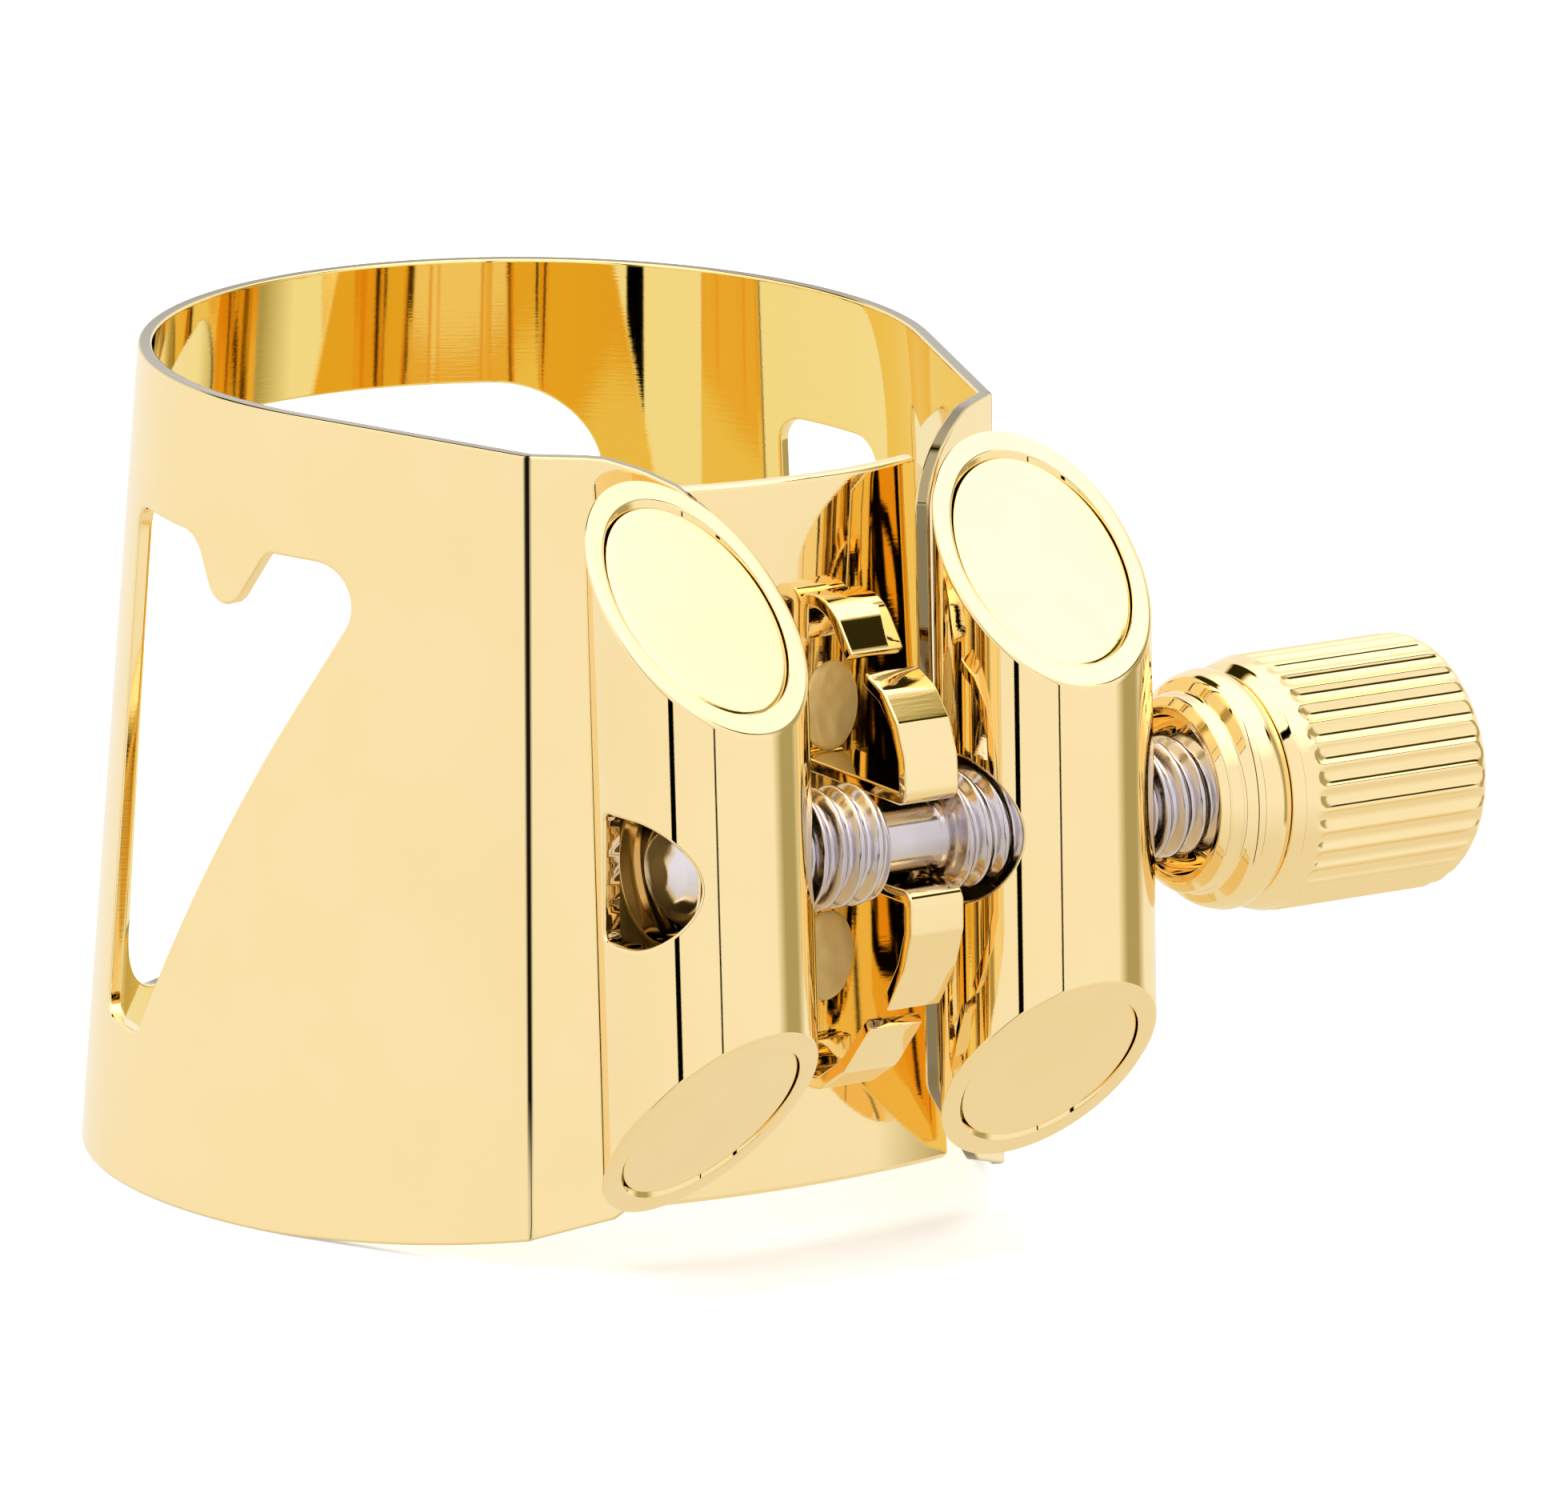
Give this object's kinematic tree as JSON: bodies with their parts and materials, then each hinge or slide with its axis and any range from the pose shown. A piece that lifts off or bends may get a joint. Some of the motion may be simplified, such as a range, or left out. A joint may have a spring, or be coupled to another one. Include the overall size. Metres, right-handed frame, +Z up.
{
  "type": "saxophone ligature",
  "caption": "Tapered gold-plated band ligature with cut-out windows, slanted posts, clamping thumb screw and clipped-on pressure plate.",
  "frame": {"origin": "centre of the band's lower, wider rim", "axes": "+Z up the band's axis towards the mouthpiece tip, +X towards the thumb knob, posts on the -Y side"},
  "size_m": [0.0362, 0.0389, 0.0268],
  "materials": {
    "gold_plated_brass": "mirror-polished gold plate",
    "plain_steel": "bright cut thread",
    "matte_gold": "grainy matte gold"
  },
  "bodies": {
    "bridge": {"bridge_upper": "gold_plated_brass", "bridge_lower": "gold_plated_brass"},
    "left_half": {"band_left": "gold_plated_brass", "left_post": "gold_plated_brass", "left_upper_disc": "gold_plated_brass", "left_lower_disc": "gold_plated_brass", "left_thread_bush": "gold_plated_brass"},
    "right_half": {"band_right": "gold_plated_brass", "right_post": "gold_plated_brass", "right_upper_disc": "gold_plated_brass", "right_lower_disc": "gold_plated_brass", "right_thread_bush": "gold_plated_brass"},
    "screw": {"clamp_screw": "plain_steel", "knob_collar": "gold_plated_brass", "thumb_knob": "gold_plated_brass"},
    "plate": {"pressure_plate": "gold_plated_brass", "claw_bracket": "gold_plated_brass", "upper_hook": "gold_plated_brass", "lower_hook": "gold_plated_brass", "upper_pad": "matte_gold", "lower_pad": "matte_gold"}
  },
  "joints": [
    {"name": "screw_turn", "type": "hinge", "parent": "bridge", "child": "screw", "pos_m": [0, -0.01995, 0.01455], "axis": [1, 0, 0], "range_deg": [-540, 360]},
    {"name": "left_flex", "type": "hinge", "parent": "bridge", "child": "left_half", "pos_m": [-0.00468, 0.01285, 0.0134], "axis": [0, 0, 1], "range_deg": [-1.83, 1.22]},
    {"name": "right_flex", "type": "hinge", "parent": "bridge", "child": "right_half", "pos_m": [0.00468, 0.01285, 0.0134], "axis": [0, 0, 1], "range_deg": [-1.24, 1.86]},
    {"name": "plate_tilt", "type": "hinge", "parent": "bridge", "child": "plate", "pos_m": [0, -0.01995, 0.01455], "axis": [1, 0, 0], "range_deg": [-1.5, 1.5]}
  ],
  "couplings": [
    {"joint": "screw_turn", "follows": "left_flex", "ratio": 294.38},
    {"joint": "right_flex", "follows": "left_flex", "ratio": -1}
  ]
}
